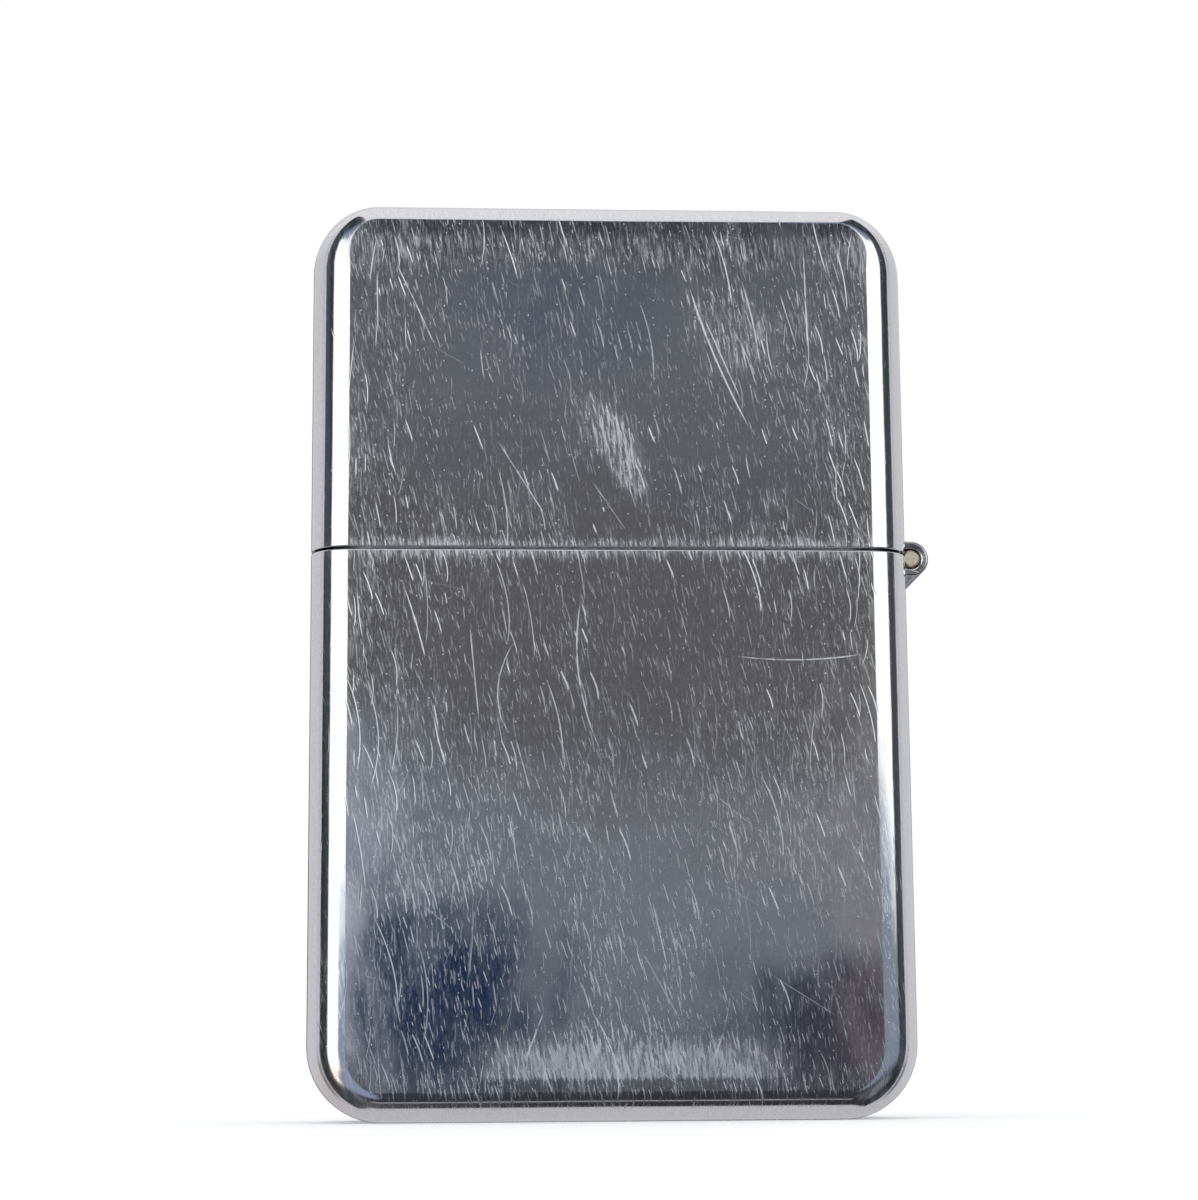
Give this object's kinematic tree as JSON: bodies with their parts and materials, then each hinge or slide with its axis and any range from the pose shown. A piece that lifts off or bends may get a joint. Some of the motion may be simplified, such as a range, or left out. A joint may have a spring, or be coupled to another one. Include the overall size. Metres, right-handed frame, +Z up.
{
  "type": "pocket lighter",
  "caption": "Flip-top pocket petrol lighter: plain polished metal case and hinged lid over an insert with chimney, striker wheel, wick and fuel packing.",
  "frame": {"origin": "middle of the flat rim the closed lighter stands on, under the middle of the case without its hinge", "axes": "+Z up through the lid, +X towards the hinge, -Y out of the broad front face"},
  "size_m": [0.0389, 0.013, 0.057],
  "materials": {
    "case_chrome": "polished, worn, covered in fine scratches",
    "lid_chrome": "polished, worn, covered in fine scratches",
    "hinge_metal": "plated, worn",
    "hinge_brass": "bare, slightly tarnished",
    "insert_steel": "satin",
    "chimney_steel": "satin, heat tinted near the top",
    "spring_steel": "satin",
    "cam_steel": "satin",
    "rivet_steel": "satin",
    "wheel_steel": "hardened, toothed, dusty with flint grit",
    "tube_brass": "drawn",
    "screw_brass": "turned",
    "flint_alloy": "grainy",
    "wick_cotton": "braided, charred at the tip",
    "packing_cotton": "loose lumps",
    "felt_wool": "pressed felt"
  },
  "bodies": {
    "case": {"case_shell": "case_chrome", "case_hinge_leaf": "hinge_metal", "hinge_pin": "hinge_brass", "insert_shell": "insert_steel", "insert_top_plate": "insert_steel", "chimney": "chimney_steel", "cam_rivet": "rivet_steel", "cam_spring": "spring_steel", "cam_spring_rivet": "rivet_steel", "wheel_rivet": "rivet_steel", "flint_tube": "tube_brass", "flint_spring": "spring_steel", "flint_screw": "screw_brass", "wick": "wick_cotton", "cotton_packing": "packing_cotton", "felt_pad": "felt_wool"},
    "lid": {"lid_shell": "lid_chrome", "lid_hinge_leaf": "hinge_metal"},
    "cam": {"cam_lever": "cam_steel"},
    "wheel": {"flint_wheel": "wheel_steel"},
    "flint_feed": {"flint": "flint_alloy", "flint_pusher": "screw_brass"}
  },
  "joints": [
    {"name": "lid_hinge", "type": "hinge", "parent": "case", "child": "lid", "pos_m": [0.0191, 0, 0.0348], "axis": [0, 1, 0], "range_deg": [0, 130]},
    {"name": "cam_pivot", "type": "hinge", "parent": "case", "child": "cam", "pos_m": [0.01365, 0, 0.0388], "axis": [0, 1, 0], "range_deg": [0, 50]},
    {"name": "wheel_spin", "type": "hinge", "parent": "case", "child": "wheel", "pos_m": [-0.0095, 0, 0.0456], "axis": [0, 1, 0], "continuous": true},
    {"name": "flint_slide", "type": "slide", "parent": "case", "child": "flint_feed", "axis": [0, 0, 1], "range_m": [-0.0025, 0], "stiffness_N_per_m": 100, "springref_m": 0.005, "deforming": ["flint_spring"]}
  ],
  "couplings": [
    {"joint": "cam_pivot", "follows": "lid_hinge", "ratio": 0.384}
  ]
}
